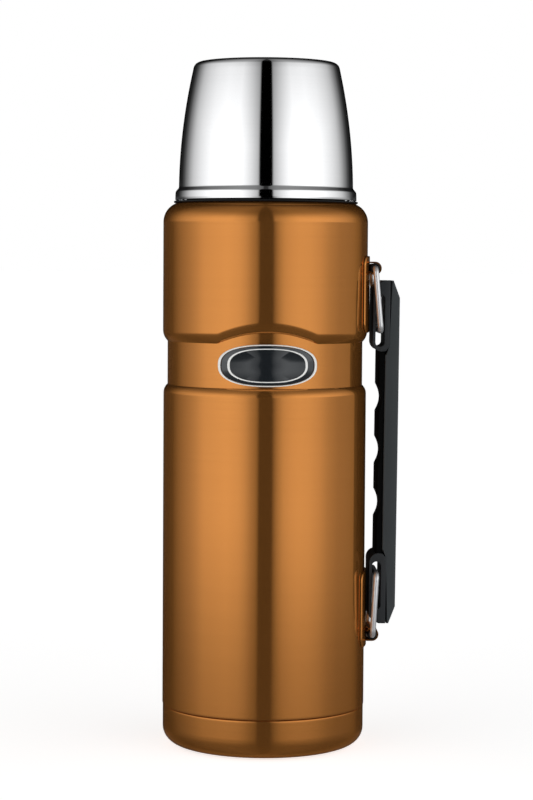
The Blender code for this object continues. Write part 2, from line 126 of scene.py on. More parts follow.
# The camera, in metres and degrees. It stands almost straight in front of the badge.
CAMERA_DISTANCE = 1.055
CAMERA_HEIGHT = 0.2188
CAMERA_TURN = 1.64          # round towards the side away from the handle
CAMERA_PITCH = 3.36
CAMERA_ROLL = 0.36
CAMERA_AIM = 0.00084        # how far right of the flask's axis it looks
CAMERA_LENS = 156.9         # millimetres, on a 36 mm wide sensor


# ---------------------------------------------------------------- material nodes

class Nodes:
    """A small helper that adds and links shader nodes."""

    def __init__(self, tree):
        self.tree = tree

    def add(self, kind, **inputs):
        """A node with values or links on its inputs; a name's underscores stand for spaces."""
        node = self.tree.nodes.new(kind)
        for key, value in inputs.items():
            self.feed(node.inputs[key.replace("_", " ")], value)
        return node

    def feed(self, socket, value):
        if isinstance(value, bpy.types.NodeSocket):
            self.tree.links.new(value, socket)
        else:
            socket.default_value = value

    def math(self, operation, first, second=0.0):
        node = self.tree.nodes.new("ShaderNodeMath")
        node.operation = operation
        self.feed(node.inputs[0], first)
        self.feed(node.inputs[1], second)
        return node.outputs[0]

    def blend(self, first, second, factor):
        node = self.tree.nodes.new("ShaderNodeMix")
        node.data_type = "RGBA"
        self.feed(node.inputs["Factor"], factor)
        self.feed(node.inputs["A"], first)
        self.feed(node.inputs["B"], second)
        return node.outputs["Result"]

    def spread(self, value, low, high):
        """A value from 0 to 1 moved to the range from low to high."""
        node = self.tree.nodes.new("ShaderNodeMapRange")
        self.feed(node.inputs["Value"], value)
        node.inputs["To Min"].default_value = low
        node.inputs["To Max"].default_value = high
        return node.outputs["Result"]

    def noise(self, place, scale, detail=3.0):
        node = self.add("ShaderNodeTexNoise", Vector=place, Scale=scale, Detail=detail)
        return node.outputs["Fac"]

    def stretched(self, place, scale):
        """Coordinates with a scale of their own on each axis."""
        node = self.add("ShaderNodeMapping", Vector=place)
        node.inputs["Scale"].default_value = scale
        return node.outputs["Vector"]


def new_material(name, **inputs):
    """A material with its Principled shader, its node helper and object coordinates."""
    material = bpy.data.materials.new(name)
    material.use_nodes = True
    nodes = Nodes(material.node_tree)
    shader = material.node_tree.nodes["Principled BSDF"]
    for key, value in inputs.items():
        nodes.feed(shader.inputs[key.replace("_", " ")], value)
    place = nodes.add("ShaderNodeTexCoord").outputs["Object"]
    return material, nodes, shader, place


def add_bump(nodes, shader, height, strength, distance):
    """Fine relief on a shader; distance is in metres."""
    bump = nodes.add("ShaderNodeBump", Height=height, Strength=strength, Distance=distance)
    nodes.feed(shader.inputs["Normal"], bump.outputs["Normal"])


def edge_mask(nodes):
    """White on sharp outer edges, for rubbing."""
    pointiness = nodes.add("ShaderNodeNewGeometry").outputs["Pointiness"]
    node = nodes.add("ShaderNodeMapRange", Value=pointiness)
    node.inputs["From Min"].default_value = 0.50
    node.inputs["From Max"].default_value = 0.58
    return node.outputs["Result"]


def rgb(red, green, blue):
    return (red, green, blue, 1.0)


def copper_lacquer():
    """Translucent copper lacquer over spun steel: fine turning lines, flake and a clear coat."""
    material, nodes, shader, place = new_material("copper_lacquer", Metallic=0.82, Coat_Weight=0.25,
                                                  Coat_Roughness=0.08)
    shader.inputs["Specular Tint"].default_value = rgb(0.86, 0.52, 0.22)
    lines = nodes.noise(nodes.stretched(place, (6.0, 6.0, 2600.0)), 1.0, 4.0)
    flake = nodes.noise(place, 5200.0, 2.0)
    cloud = nodes.noise(place, 22.0, 3.0)
    tone = nodes.blend(rgb(0.53, 0.198, 0.038), rgb(0.64, 0.248, 0.054), lines)
    tone = nodes.blend(tone, rgb(0.70, 0.295, 0.082), nodes.spread(flake, -0.12, 0.30))
    tone = nodes.blend(tone, rgb(0.475, 0.168, 0.030), nodes.spread(cloud, -0.10, 0.22))
    nodes.feed(shader.inputs["Base Color"], tone)
    nodes.feed(shader.inputs["Roughness"], nodes.spread(lines, 0.05, 0.11))
    height = nodes.math("ADD", nodes.math("MULTIPLY", lines, 0.6), nodes.math("MULTIPLY", flake, 0.4))
    add_bump(nodes, shader, height, 0.10, 0.00004)
    return material


def polished_steel():
    """Mirror-polished steel with faint round polishing marks and handling haze."""
    material, nodes, shader, place = new_material("polished_steel", Metallic=1.0)
    lines = nodes.noise(nodes.stretched(place, (8.0, 8.0, 3400.0)), 1.0, 5.0)
    haze = nodes.noise(place, 38.0, 4.0)
    tone = nodes.blend(rgb(0.86, 0.87, 0.88), rgb(0.93, 0.93, 0.94), lines)
    nodes.feed(shader.inputs["Base Color"], tone)
    rough = nodes.math("ADD", nodes.spread(lines, 0.015, 0.05), nodes.spread(haze, -0.01, 0.035))
    nodes.feed(shader.inputs["Roughness"], nodes.math("MAXIMUM", rough, 0.012))
    add_bump(nodes, shader, lines, 0.035, 0.00002)
    return material


def brushed_steel():
    """Bare spun steel, as inside the neck and under the paint."""
    material, nodes, shader, place = new_material("brushed_steel", Metallic=1.0)
    lines = nodes.noise(nodes.stretched(place, (14.0, 14.0, 2200.0)), 1.0, 5.0)
    tone = nodes.blend(rgb(0.46, 0.46, 0.47), rgb(0.66, 0.66, 0.66), lines)
    nodes.feed(shader.inputs["Base Color"], tone)
    nodes.feed(shader.inputs["Roughness"], nodes.spread(lines, 0.24, 0.42))
    add_bump(nodes, shader, lines, 0.25, 0.00003)
    return material


def wire_steel():
    """Drawn bright wire with lengthwise die marks."""
    material, nodes, shader, place = new_material("wire_steel", Metallic=0.8)
    marks = nodes.noise(nodes.stretched(place, (2400.0, 2400.0, 30.0)), 1.0, 3.0)
    tone = nodes.blend(rgb(0.80, 0.81, 0.83), rgb(0.88, 0.88, 0.90), marks)
    nodes.feed(shader.inputs["Base Color"], tone)
    nodes.feed(shader.inputs["Roughness"], nodes.spread(marks, 0.27, 0.35))
    return material


def moulded_plastic(name, colour, worn, roughness, gloss):
    """Moulded plastic: a fine spark-eroded grain, uneven gloss and rubbed edges."""
    material, nodes, shader, place = new_material(name, Specular_IOR_Level=gloss)
    grain = nodes.noise(place, 3800.0, 2.0)
    patches = nodes.noise(place, 60.0, 3.0)
    tone = nodes.blend(colour, worn, nodes.spread(patches, 0.0, 0.35))
    tone = nodes.blend(tone, worn, nodes.math("MULTIPLY", edge_mask(nodes), 0.6))
    nodes.feed(shader.inputs["Base Color"], tone)
    nodes.feed(shader.inputs["Roughness"], nodes.spread(patches, roughness - 0.07, roughness + 0.09))
    add_bump(nodes, shader, grain, 0.22, 0.00005)
    return material


def simple_material(name, dark, light, roughness, metallic, scale, coat=0.0):
    """A mottled material for the badge and the small inner pieces."""
    material, nodes, shader, place = new_material(name, Metallic=metallic, Coat_Weight=coat,
                                                  Coat_Roughness=0.03)
    mottle = nodes.noise(place, scale, 4.0)
    nodes.feed(shader.inputs["Base Color"], nodes.blend(dark, light, mottle))
    nodes.feed(shader.inputs["Roughness"], nodes.spread(mottle, roughness - 0.08, roughness + 0.08))
    add_bump(nodes, shader, mottle, 0.2, 0.00005)
    return material


LACQUER = copper_lacquer()
MIRROR_STEEL = polished_steel()
SATIN_STEEL = brushed_steel()
WIRE = wire_steel()
BLACK = moulded_plastic("black_plastic", rgb(0.003, 0.0035, 0.004), rgb(0.010, 0.011, 0.013), 0.42, 0.20)
# The grip's bar: matt black plastic, made much darker than the ears' black of the same moulding as painted
# shade over the recessed bar.
MATT_BLACK_PAINTED_SHADE = moulded_plastic("matt_black_plastic_painted_shade", rgb(0.0012, 0.0013, 0.0015), rgb(0.003, 0.003, 0.003),
                             0.60, 0.05)
SATIN_BLACK = moulded_plastic("satin_black_plastic", rgb(0.016, 0.018, 0.020), rgb(0.030, 0.033, 0.036),
                              0.45, 0.30)
GREY = moulded_plastic("grey_plastic", rgb(0.030, 0.036, 0.039), rgb(0.058, 0.066, 0.070), 0.50, 0.34)
ENAMEL = simple_material("badge_enamel", rgb(0.016, 0.020, 0.024), rgb(0.024, 0.029, 0.034), 0.16, 0.35,
                         900.0, coat=1.0)
IVORY = simple_material("badge_border", rgb(0.86, 0.86, 0.84), rgb(0.94, 0.94, 0.92), 0.30, 0.0, 700.0)
SILICONE = simple_material("silicone", rgb(0.46, 0.46, 0.44), rgb(0.60, 0.60, 0.57), 0.55, 0.0, 400.0)
FOAM = simple_material("foam", rgb(0.70, 0.64, 0.48), rgb(0.86, 0.82, 0.70), 0.90, 0.0, 900.0)
FOIL = simple_material("copper_foil", rgb(0.60, 0.28, 0.16), rgb(0.80, 0.44, 0.30), 0.25, 1.0, 300.0)
SINTERED = simple_material("getter_metal", rgb(0.13, 0.13, 0.14), rgb(0.26, 0.26, 0.27), 0.60, 0.9, 1500.0)


# ---------------------------------------------------------------- mesh helpers

def arc(centre_a, centre_b, radius, start, stop, steps):
    """Points along an arc, angles in degrees from the first axis."""
    points = []
    for step in range(steps + 1):
        angle = math.radians(start + (stop - start) * step / steps)
        points.append((centre_a + radius * math.cos(angle), centre_b + radius * math.sin(angle)))
    return points


def rounded(corners, steps):
    """Points along a polyline of (a, b, radius) corners, each corner rounded by its radius."""
    points = []
    last = len(corners) - 1
    for index, (a, b, radius) in enumerate(corners):
        here = Vector((a, b))
        if index in (0, last) or radius <= 0.0:
            points.append((a, b))
            continue
        before = Vector(corners[index - 1][:2]) - here
        after = Vector(corners[index + 1][:2]) - here
        half_turn = (math.pi - before.angle(after)) / 2.0
        if half_turn < 0.01:
            points.append((a, b))
            continue
        reach = min(radius * math.tan(half_turn), 0.78 * before.length, 0.78 * after.length)
        middle = (before.normalized() + after.normalized()) * reach
        centre = here + middle / (2.0 * math.sin(half_turn) ** 2)
        start = here + before.normalized() * reach - centre
        end = here + after.normalized() * reach - centre
        turn = 2.0 * half_turn
        for step in range(steps + 1):
            share = step / steps
            spoke = start * math.sin((1.0 - share) * turn) + end * math.sin(share * turn)
            point = centre + spoke / math.sin(turn)
            points.append((point.x, point.y))
    return points


def unrounded(points):
    """Points as corners for rounded() that it leaves as they are."""
    return [(a, b, 0.0) for a, b in points]


def finished(name, mesh_data, materials, body, node=None, sharp=35.0):
    """Turn bmesh data into a smooth-shaded piece with the given materials that rides on its body,
    and stands for the CAD node it hides, where one is given."""
    bmesh.ops.remove_doubles(mesh_data, verts=mesh_data.verts, dist=0.001 * MM)
    bmesh.ops.recalc_face_normals(mesh_data, faces=mesh_data.faces)
    mesh = bpy.data.meshes.new(name)
    mesh_data.to_mesh(mesh)
    mesh_data.free()
    for material in materials:
        mesh.materials.append(material)
    mesh.shade_smooth()
    mesh.set_sharp_from_angle(angle=math.radians(sharp))
    piece = bpy.data.objects.new(name, mesh)
    bpy.context.scene.collection.objects.link(piece)
    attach(piece, body)
    if node:
        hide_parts(node)
    return piece


def offset_inwards(points, wall):
    """The inner side of a sheet whose outer side is points, listed from the top down."""
    inner = []
    for index, point in enumerate(points):
        here = Vector(point)
        normals = []
        for other in (index - 1, index + 1):
            if 0 <= other < len(points):
                along = (Vector(points[other]) - here) * (1 if other > index else -1)
                if along.length > 1e-6:
                    normals.append(Vector((along.y, -along.x)).normalized())
        normal = sum(normals, Vector((0.0, 0.0))).normalized()
        spread = max(normal.dot(normals[0]), 0.4)
        moved = here + normal * (wall / spread)
        inner.append((max(moved.x, 0.0), moved.y))
    return inner


def lathe(profile, segments=ROUND, closed=True, shape=None, slots=None):
    """Turn a profile about Z. shape(radius, height, angle) may move a point; slots(r, z) picks
    a face's material."""
    data = bmesh.new()
    rings = []
    for radius, height in profile:
        if radius < 1e-4:
            rings.append([data.verts.new((0.0, 0.0, height * MM))])
            continue
        ring = []
        for step in range(segments):
            angle = 2.0 * math.pi * step / segments
            r, z = shape(radius, height, angle) if shape else (radius, height)
            ring.append(data.verts.new((r * MM * math.cos(angle), r * MM * math.sin(angle), z * MM)))
        rings.append(ring)
    pairs = list(zip(profile, rings))
    following = pairs[1:] + (pairs[:1] if closed else [])
    for (low, ring), (high, other) in zip(pairs, following):
        if len(ring) == 1 and len(other) == 1:
            continue
        slot = slots((low[0] + high[0]) / 2.0, (low[1] + high[1]) / 2.0) if slots else 0
        for step in range(segments):
            after = (step + 1) % segments
            if len(ring) == 1:
                corners = (ring[0], other[after], other[step])
            elif len(other) == 1:
                corners = (ring[step], ring[after], other[0])
            else:
                corners = (ring[step], ring[after], other[after], other[step])
            data.faces.new(corners).material_index = slot
    return data


def sheet(points, wall):
    """A closed profile for a sheet: its outer side down, its inner side up."""
    return points + list(reversed(offset_inwards(points, wall)))


def prism_data(outline, half_depth, rounding=0.0, steps=3):
    """Extrude an (x, z) outline both ways along Y, with the edges of its two faces rounded."""
    data = bmesh.new()
    near = [data.verts.new((x * MM, -half_depth * MM, z * MM)) for x, z in outline]
    far = [data.verts.new((x * MM, half_depth * MM, z * MM)) for x, z in outline]
    data.faces.new(near)
    data.faces.new(list(reversed(far)))
    count = len(outline)
    rims = []
    for index in range(count):
        after = (index + 1) % count
        data.faces.new((near[index], near[after], far[after], far[index]))
        rims += [data.edges.get((near[index], near[after])), data.edges.get((far[index], far[after]))]
    if rounding:
        bmesh.ops.bevel(data, geom=rims, offset=rounding * MM, segments=steps, profile=0.5,
                        affect="EDGES")
    bmesh.ops.recalc_face_normals(data, faces=data.faces)
    return data


def scratch_object(name, data):
    """A mesh object that is in the scene only while one Boolean needs it."""
    mesh = bpy.data.meshes.new(name)
    data.to_mesh(mesh)
    data.free()
    helper = bpy.data.objects.new(name, mesh)
    bpy.context.scene.collection.objects.link(helper)
    return helper


def boolean_data(data, steps):
    """Apply (operation, other bmesh) steps in turn and give back the result as a bmesh."""
    base = scratch_object("boolean_base", data)
    others = []
    for operation, other in steps:
        cutter = scratch_object("boolean_tool", other)
        modifier = base.modifiers.new(operation.lower(), "BOOLEAN")
        modifier.operation = operation
        modifier.solver = "EXACT"
        modifier.object = cutter
        others.append(cutter)
    graph = bpy.context.evaluated_depsgraph_get()
    graph.update()
    result = bmesh.new()
    result.from_mesh(bpy.data.meshes.new_from_object(base.evaluated_get(graph)))
    for helper in [base] + others:
        bpy.data.objects.remove(helper, do_unlink=True)
    return result


def tube_data(points, radii, sides, cyclic=False):
    """A round tube through (x, y, z) points in millimetres, with a radius at each point."""
    data = bmesh.new()
    count = len(points)
    path = [Vector(point) for point in points]
    rings = []
    normal = None
    for index, here in enumerate(path):
        ahead = path[(index + 1) % count] if cyclic or index + 1 < count else here
        behind = path[index - 1] if cyclic or index else here
        along = (ahead - behind).normalized()
        if normal is None:
            normal = along.orthogonal().normalized()
        normal = (normal - along * normal.dot(along)).normalized()
        other = along.cross(normal)
        ring = []
        for step in range(sides):
            angle = 2.0 * math.pi * step / sides
            offset = normal * math.cos(angle) + other * math.sin(angle)
            ring.append(data.verts.new((here + offset * radii[index]) * MM))
        rings.append(ring)
    spans = list(zip(rings, rings[1:] + rings[:1])) if cyclic else list(zip(rings, rings[1:]))
    for ring, following in spans:
        for step in range(sides):
            after = (step + 1) % sides
            data.faces.new((ring[step], ring[after], following[after], following[step]))
    if not cyclic:
        data.faces.new(list(reversed(rings[0])))
        data.faces.new(rings[-1])
    return data


def helix_ridge(radius, ridge, start, lead, turns):
    """A rolled thread ridge that fades out at both ends."""
    points = []
    radii = []
    steps = round(turns * 48)
    for step in range(steps + 1):
        share = step / steps
        angle = 2.0 * math.pi * turns * share
        height = start + lead * turns * share
        points.append((radius * math.cos(angle), radius * math.sin(angle), height))
        fade = min(1.0, 8.0 * share, 8.0 * (1.0 - share))
        radii.append(max(ridge * math.sqrt(fade), 0.15))
    return tube_data(points, radii, 12)


# ---------------------------------------------------------------- body

def smooth_share(value, low, high):
    """0 at low, 1 at high and a smooth step between them."""
    share = min(max((value - low) / (high - low), 0.0), 1.0)
    return share * share * (3.0 - 2.0 * share)


def arch_shape(radius, height, angle):
    """Lift the waist's upper edge, and the round above it, in an arch over the badge."""
    if height < WAIST_TOP - 1.5 or height > SHOULDER_TOP - SHOULDER_ROUND:
        return radius, height
    across = radius * math.cos(angle)
    if math.sin(angle) > 0.0 or abs(across) > ARCH_HALF_CHORD:
        return radius, height
    rise = ARCH_RISE * (1.0 - (across / ARCH_HALF_CHORD) ** 2)
    keep = 1.0 - smooth_share(height, WAIST_TOP + 9.0, SHOULDER_TOP - SHOULDER_ROUND - 6.0)
    return radius, height + rise * keep


def bulge(outer, edge, curve, side):
    """Points along the round that brings the casing in to the waist, ending in its crease."""
    turn = math.acos(1.0 - (outer - WAIST_RADIUS) / curve)
    points = []
    for step in range(11):
        angle = turn * step / 10
        rise = curve * (math.sin(turn) - math.sin(angle))
        points.append((outer - curve * (1.0 - math.cos(angle)), edge + side * rise))
    return points


def make_casing():
    """Painted casing: bare collar, round shoulder, bulges above and below the waist, tucked foot.
    Points along the straight sides keep the shading of the rounds next to them even."""
    corners = [(MOUTH_RADIUS, CASING_TOP, 0.0), (MOUTH_RADIUS, CASING_TOP - 9.0, 3.2)]
    corners += [(COLLAR_RADIUS - 1.2, CASING_TOP - 10.5, 1.4), (COLLAR_RADIUS, CASING_TOP - 12.4, 0.8)]
    corners += [(COLLAR_RADIUS, SHOULDER_TOP + 0.2, 1.2)]
    corners += unrounded(arc(UPPER_RADIUS - SHOULDER_ROUND, SHOULDER_TOP - SHOULDER_ROUND, SHOULDER_ROUND,
                             90.0, 0.0, 14))
    corners += [(UPPER_RADIUS, SHOULDER_TOP - drop, 0.0) for drop in (9.5, 20.4, 32.4, 43.4)]
    corners += unrounded(bulge(UPPER_RADIUS, WAIST_TOP, 6.8, 1.0))
    corners += [(WAIST_RADIUS, WAIST_TOP - 0.6, 0.0), (WAIST_RADIUS, WAIST_BOTTOM + 0.6, 0.0)]
    corners += unrounded(reversed(bulge(LOWER_RADIUS, WAIST_BOTTOM, 5.2, -1.0)))
    corners += [(LOWER_RADIUS, (SEAM + WAIST_BOTTOM) / 2.0, 0.0), (LOWER_RADIUS, SEAM + 1.2, 0.0)]
    corners += [(LOWER_RADIUS, SEAM + 0.2, 0.3), (TUCK_RADIUS, SEAM + 0.2, 0.3)]
    corners += [(TUCK_RADIUS, CASING_FOOT, 0.0)]

    def slots(radius, height):
        bare = height > SHOULDER_TOP - 0.6 and radius < COLLAR_RADIUS + 1.4
        return 1 if bare else 0

    data = lathe(sheet(rounded(corners, 8), CASING_WALL), 2 * ROUND, shape=arch_shape, slots=slots)
    finished("casing", data, [LACQUER, SATIN_STEEL], "bottle", "outer_casing")
    ridge = helix_ridge(COLLAR_RADIUS + 0.2, 0.95, SHOULDER_TOP + 2.6, CUP_LEAD, 1.3)
    finished("collar_thread", ridge, [SATIN_STEEL], "bottle")


def make_base_cap():
    """Painted pressed cap with a large round at its foot, a standing ring and a raised middle."""
    corners = [(CAP_RADIUS - 0.8, SEAM, 0.0), (CAP_RADIUS, SEAM, 0.6), (CAP_RADIUS, SEAM - 1.1, 0.0)]
    corners += [(CAP_RADIUS, 9.9, 0.0), (CAP_RADIUS, 1.3, 8.6), (FOOT_RADIUS - 1.5, 0.0, 8.0)]
    corners += [(FOOT_RADIUS - 4.0, 0.0, 0.0), (FOOT_RADIUS - 5.0, 0.0, 0.4), (FOOT_RADIUS - 6.0, 0.5, 0.4)]
    corners += [(8.0, 0.5, 0.4), (7.0, 0.0, 0.4), (0.0, 0.0, 0.0)]
    profile = rounded(corners, 10)
    inner = offset_inwards(profile, CASING_WALL)
    inner[-1] = (0.0, CASING_WALL)
    data = lathe(profile + list(reversed(inner)), 2 * ROUND)
    finished("base_cap_shell", data, [LACQUER], "bottle", "base_cap")


def make_inner_flask():
    """Inner flask: lip, straight neck with the stopper's thread, and a round shoulder."""
    low, high = box_mm("inner_flask")
    lip = high[2] - 0.65
    neck_foot = CASING_TOP - 38.5
    corners = [(MOUTH_RADIUS + 0.2, lip, 0.0), (NECK_RADIUS, lip, 0.3), (NECK_RADIUS, neck_foot + 0.9, 2.4)]
    corners += [(NECK_RADIUS + 4.0, neck_foot, 2.0), (high[0], neck_foot, 8.0), (high[0], low[2], 0.0)]
    data = lathe(sheet(rounded(corners, 8), 0.6))
    finished("flask_liner", data, [SATIN_STEEL], "bottle", "inner_flask")
    ridge = helix_ridge(NECK_RADIUS - 0.7, 0.65, CASING_TOP - 19.0, STOPPER_LEAD, 1.6)
    finished("neck_thread", ridge, [SATIN_STEEL], "bottle")


def oval(angle):
    """A point on a filled-out oval of half length 1 and half height 1."""
    across = math.cos(angle)
    up = math.sin(angle)
    power = 2.0 / OVAL_POWER
    return math.copysign(abs(across) ** power, across), math.copysign(abs(up) ** power, up)


def badge_data(rings, half_length, half_height, centre):
    """A curved oval plate on the waist. rings are (share of the outline, radius) from the middle
    of the face out to its edge and back under it."""
    data = bmesh.new()
    steps = 120
    made = []
    for share, radius in rings:
        if share == 0.0:
            made.append([data.verts.new((0.0, -radius * MM, centre * MM))])
            continue
        ring = []
        for step in range(steps):
            across, up = oval(2.0 * math.pi * step / steps)
            x = across * half_length * share
            y = -math.sqrt(radius ** 2 - x ** 2)
            z = centre + up * half_height * share
            ring.append(data.verts.new((x * MM, y * MM, z * MM)))
        made.append(ring)
    for ring, other in zip(made, made[1:]):
        for step in range(steps):
            after = (step + 1) % steps
            if len(ring) == 1:
                data.faces.new((ring[0], other[step], other[after]))
            elif len(other) == 1:
                data.faces.new((ring[step], other[0], ring[after]))
            else:
                data.faces.new((ring[step], other[step], other[after], ring[after]))
    return data


def make_badge():
    """A plain oval badge: dark enamel with a fine raised line, in a light rim."""
    low, high = box_mm("badge_rim")
    half_length = high[0]
    half_height = (high[2] - low[2]) / 2.0
    centre = (high[2] + low[2]) / 2.0
    seat = WAIST_RADIUS + 0.3
    face = WAIST_RADIUS + 1.0
    plate = [(0.0, face + 0.1), (0.4, face + 0.08), (0.745, face), (0.765, face + 0.18)]
    plate += [(0.790, face + 0.18), (0.810, face), (0.915, face), (0.935, face - 0.15)]
    plate += [(0.935, seat), (0.5, seat), (0.0, seat)]
    data = badge_data(plate, half_length, half_height, centre)
    badge = finished("badge_face", data, [ENAMEL, IVORY], "bottle", "badge_plate", 40.0)
    for polygon in badge.data.polygons:
        across = abs(polygon.center.x / MM / half_length)
        up = abs((polygon.center.z / MM - centre) / half_height)
        share = (across ** OVAL_POWER + up ** OVAL_POWER) ** (1.0 / OVAL_POWER)
        if 0.757 < share < 0.80 and polygon.center.y < -face * MM * 0.8:
            polygon.material_index = 1
    rim = [(0.948, seat), (0.948, face + 0.15), (0.958, face + 0.42), (0.975, face + 0.5)]
    rim += [(0.990, face + 0.42), (1.0, face + 0.1), (1.0, seat), (0.948, seat)]
    data = badge_data(rim, half_length, half_height, centre)
    finished("badge_border", data, [IVORY], "bottle", "badge_rim", 50.0)


# ---------------------------------------------------------------- handle, bails and brackets

def spaced(low, high, steps):
    """Places from low to high that crowd towards both ends."""
    middle = (low + high) / 2.0
    half = (high - low) / 2.0
    return [middle - half * math.cos(math.pi * step / steps) for step in range(steps + 1)]


def rim_of(rows):
    """The vertices round the edge of a grid, in order."""
    right = [row[-1] for row in rows[1:-1]]
    left = [row[0] for row in rows[-2:0:-1]]
    return rows[0] + right + rows[-1][::-1] + left


def make_bracket_plate(name, node, inner, outer):
    """Sheet plate curved round the casing, with round corners and softened edges."""
    low, high = box_mm(node)
    corner = 4.0
    edge = 0.5
    rows = []
    for height in spaced(low[2], high[2], 40):
        from_end = min(height - low[2], high[2] - height)
        gap = max(corner - from_end, 0.0)
        width = high[1] - corner + math.sqrt(max(corner ** 2 - gap ** 2, 0.0))
        row = []
        for across in spaced(-width, width, 24):
            rim = min(width - abs(across), from_end)
            row.append((across, outer - 0.3 * max(0.0, 1.0 - rim / edge) ** 2, height))
        rows.append(row)

    data = bmesh.new()

    def vertex(across, radius, height):
        return data.verts.new((math.sqrt(radius ** 2 - across ** 2) * MM, across * MM, height * MM))

    front = [[vertex(*place) for place in row] for row in rows]
    back = [[vertex(across, inner, height) for across, _, height in row] for row in rows]
    for layer in (front, back):
        for row, above in zip(layer, layer[1:]):
            for step in range(24):
                data.faces.new((row[step], row[step + 1], above[step + 1], above[step]))
    near = rim_of(front)
    far = rim_of(back)
    for index in range(len(near)):
        data.faces.new((near[index - 1], near[index], far[index], far[index - 1]))
    finished(name, data, [LACQUER], "bottle", node)


def make_bracket_strap(name, outer, pivot, side):
    """The plate's end, rolled round the bail's pivot bar."""
    eye = 3.0
    bore = 2.3
    outline = [(outer - 1.6, side * eye), (outer - 0.2, side * eye)]
    outline += [(x, side * z) for x, z in arc(pivot[0], 0.0, eye, 90.0, -150.0, 26)]
    outline += [(x, side * z) for x, z in arc(pivot[0], 0.0, bore, -150.0, 90.0, 26)]
    outline += [(outer - 0.2, side * bore), (outer - 1.6, side * bore)]
    strap = prism_data([(x, pivot[2] + z) for x, z in outline], 9.5, rounding=0.22, steps=2)
    seat = outer - 0.25
    above = pivot[2] + 12.0
    below = pivot[2] - 12.0
    body = lathe([(0.0, above), (seat, above), (seat, below), (0.0, below)], closed=False)
    strap = boolean_data(strap, [("DIFFERENCE", body)])
    finished(name, strap, [LACQUER], "bottle", sharp=40.0)


def make_bracket(name, node, body_radius, pivot, side):
    """A welded plate and its rolled strap; side is 1 where the strap rolls over the top."""
    inner = body_radius + SEAT_GAP
    outer = inner + 0.7
    make_bracket_plate(name + "_plate", node, inner, outer)
    make_bracket_strap(name + "_strap", outer, pivot, side)


def make_bail(name, node, body, pivot, side):
    """A bright wire loop that hangs from the bracket's eye and runs through the handle's slot."""
    low, high = box_mm(node)
    reach_out = high[0] - WIRE_RADIUS - pivot[0]
    reach_down = high[2] - low[2] - 2.0 * WIRE_RADIUS
    lean = math.atan2(reach_out, reach_down)
    length = math.hypot(reach_out, reach_down)
    corner = 2.4
    centre = BAIL_HALF_WIDTH - corner
    loop = arc(centre, -corner, corner, 0.0, 90.0, 10)
    loop += arc(-centre, -corner, corner, 90.0, 180.0, 10)
    loop += arc(-centre, corner - length, corner, 180.0, 270.0, 10)
    loop += arc(centre, corner - length, corner, 270.0, 360.0, 10)
    points = []
    for across, along in loop:
        points.append((pivot[0] - along * math.sin(lean), across, pivot[2] + side * along * math.cos(lean)))
    data = tube_data(points, [WIRE_RADIUS] * len(points), 20, cyclic=True)
    finished(name, data, [WIRE], body, node, 60.0)


def make_sleeve(name, pivot):
    """Black nylon sleeve round the bail's pivot bar, inside the bracket's rolled eye."""
    reach = BAIL_HALF_WIDTH - WIRE_RADIUS - 0.7
    outline = arc(pivot[0], pivot[2], 2.15, 0.0, 360.0, 32)[:-1]
    bore = arc(pivot[0], pivot[2], WIRE_RADIUS + 0.05, 0.0, 360.0, 24)[:-1]
    cutter = prism_data(bore, reach + 2.0)
    data = boolean_data(prism_data(outline, reach, rounding=0.3), [("DIFFERENCE", cutter)])
    finished(name, data, [BLACK], "bottle")


def mirrored(half):
    """A closed outline from its upper half, mirrored at the handle's middle."""
    lower = [(x, 2.0 * HANDLE_MIDDLE - z) for x, z in reversed(half) if z > HANDLE_MIDDLE + 1e-6]
    return half + lower


def leaned(outline):
    """An (x, z) outline turned about the handle's middle by the handle's lean."""
    sine = math.sin(HANDLE_LEAN)
    cosine = math.cos(HANDLE_LEAN)
    points = []
    for x, z in outline:
        across = x - SLOT_CENTRE
        along = z - HANDLE_MIDDLE
        points.append((SLOT_CENTRE + across * cosine + along * sine,
                       HANDLE_MIDDLE - across * sine + along * cosine))
    return points


def finger_hollow(middle):
    """The grip's inner edge along one shallow finger hollow, from its lower to its upper end."""
    points = []
    for step in range(HOLLOW_STEPS + 1):
        share = 2.0 * step / HOLLOW_STEPS - 1.0
        height = middle + FINGER_HALF_LENGTH * share
        points.append((GRIP_INNER + FINGER_DEPTH * (1.0 - share ** 2), height))
    return points


def slot_data(side, start):
    """The cutter for an ear's slot; start is its inner end's distance from the handle's middle."""
    outline = arc(SLOT_CENTRE, SLOT_END - SLOT_HALF_WIDTH, SLOT_HALF_WIDTH, 0.0, 180.0, 16)
    outline += arc(SLOT_CENTRE, start + SLOT_HALF_WIDTH, SLOT_HALF_WIDTH, 180.0, 360.0, 16)
    outline = [(x, HANDLE_MIDDLE + side * z) for x, z in outline]
    return prism_data(leaned(outline), 20.0)


